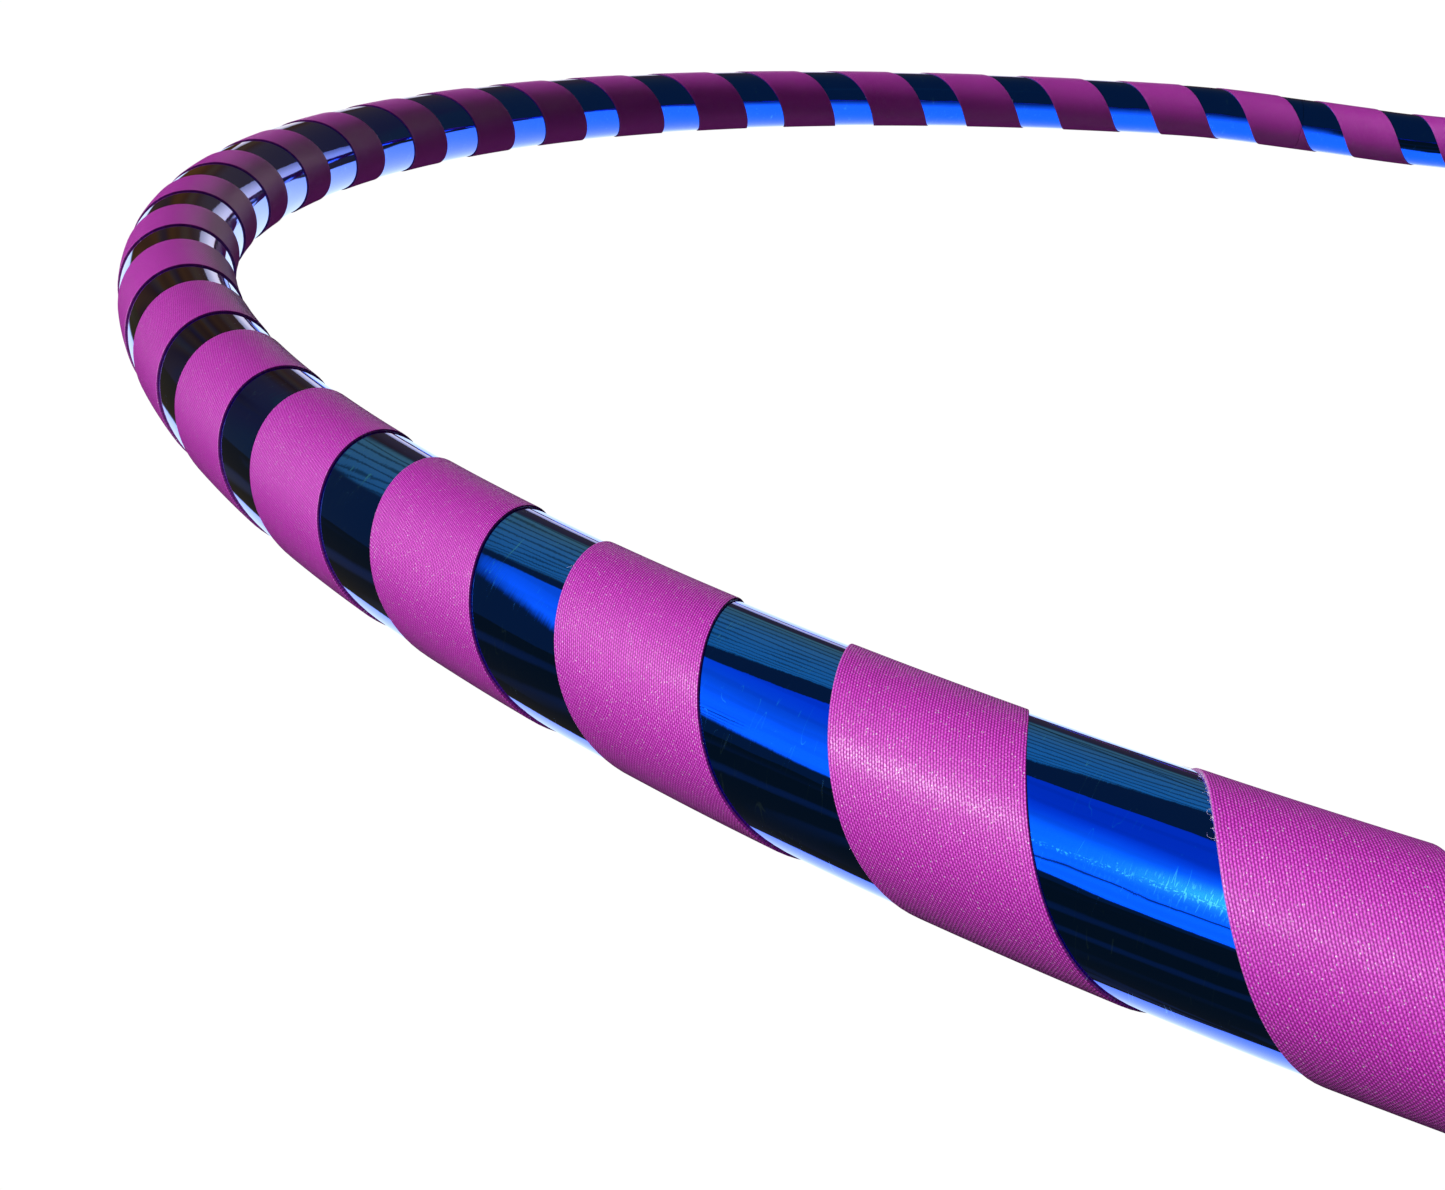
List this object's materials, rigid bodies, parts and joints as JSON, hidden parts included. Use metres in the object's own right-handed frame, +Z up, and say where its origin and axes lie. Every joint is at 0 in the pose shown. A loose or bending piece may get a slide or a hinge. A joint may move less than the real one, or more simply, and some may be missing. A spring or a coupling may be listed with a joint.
{
  "type": "wrapped dance hoop",
  "caption": "Large thin ring for spinning round the body: plastic tube under mirror film and a spiral cloth grip tape, opening at a push-button joint.",
  "frame": {"origin": "on the floor under the ring's centre, the ring lying flat", "axes": "+Z up, square to the ring's plane; +X and +Y lie in the ring's plane, and the joint is at 118 degrees from +X towards +Y"},
  "size_m": [0.9651, 0.965, 0.0349],
  "materials": {
    "grip_tape": "woven cloth grip tape, matt with a fine sparkle in the weave",
    "mirror_film": "deep blue mirror film, glossy, fine scratches",
    "tube_plastic": "black extruded plastic, satin",
    "insert_plastic": "natural white plastic sleeve, satin",
    "rivet_aluminium": "bare aluminium",
    "mandrel_steel": "zinc-plated steel, broken end",
    "spring_steel": "bright spring steel strip",
    "button_steel": "nickel-plated steel, polished dome"
  },
  "bodies": {
    "hoop": {"hoop_tube": "tube_plastic", "mirror_film_wrap": "mirror_film", "grip_tape_wrap": "grip_tape", "connector_insert": "insert_plastic", "rivet_body_1": "rivet_aluminium", "rivet_body_2": "rivet_aluminium", "rivet_mandrel_1": "mandrel_steel", "rivet_mandrel_2": "mandrel_steel", "button_spring_fixed_leg": "spring_steel"},
    "button": {"button_spring_moving_leg": "spring_steel", "snap_button": "button_steel"}
  },
  "joints": [
    {"name": "button_press", "type": "hinge", "parent": "hoop", "child": "button", "pos_m": [-0.21498, 0.42303, 0.01714], "axis": [0.0491, 0.0276, 0.9984], "range_deg": [0, 7.8], "stiffness_Nm_per_rad": 1.2, "springref_deg": -5.73}
  ]
}
